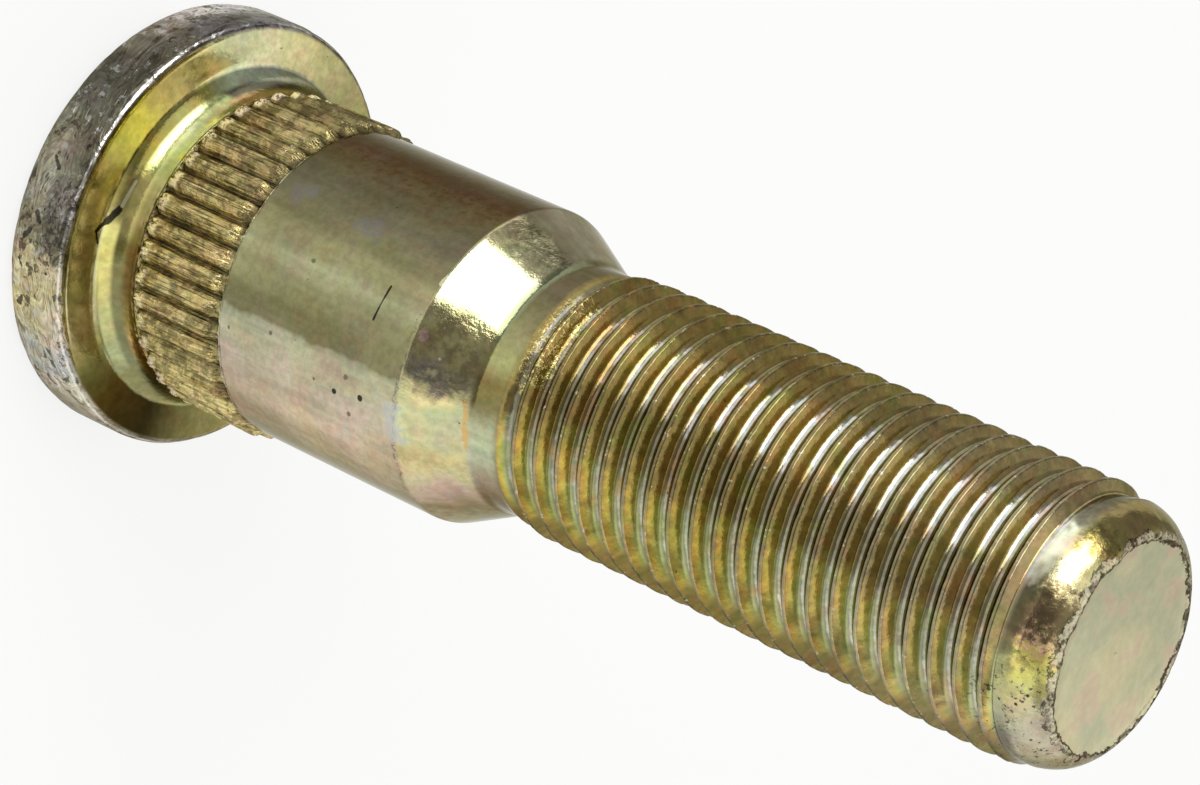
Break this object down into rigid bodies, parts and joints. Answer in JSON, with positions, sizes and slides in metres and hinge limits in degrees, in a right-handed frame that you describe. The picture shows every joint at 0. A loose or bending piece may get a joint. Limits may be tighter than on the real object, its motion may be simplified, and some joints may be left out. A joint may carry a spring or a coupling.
{
  "type": "wheel stud",
  "caption": "Press-in wheel stud: round head, knurled collar, smooth shank, cone and long fine right-hand thread with a crowned tip.",
  "frame": {"origin": "centre of the head's outer face, on which the stud stands", "axes": "+Z along the stud's axis from the head to the threaded tip; X and Y across the axis, with no preferred direction"},
  "size_m": [0.0216, 0.0216, 0.0562],
  "materials": {
    "yellow_zinc_steel": "yellow zinc plate, mirror-like on the shank, worn grey on the head"
  },
  "bodies": {
    "root": {"wheel_stud": "yellow_zinc_steel"}
  },
  "joints": []
}
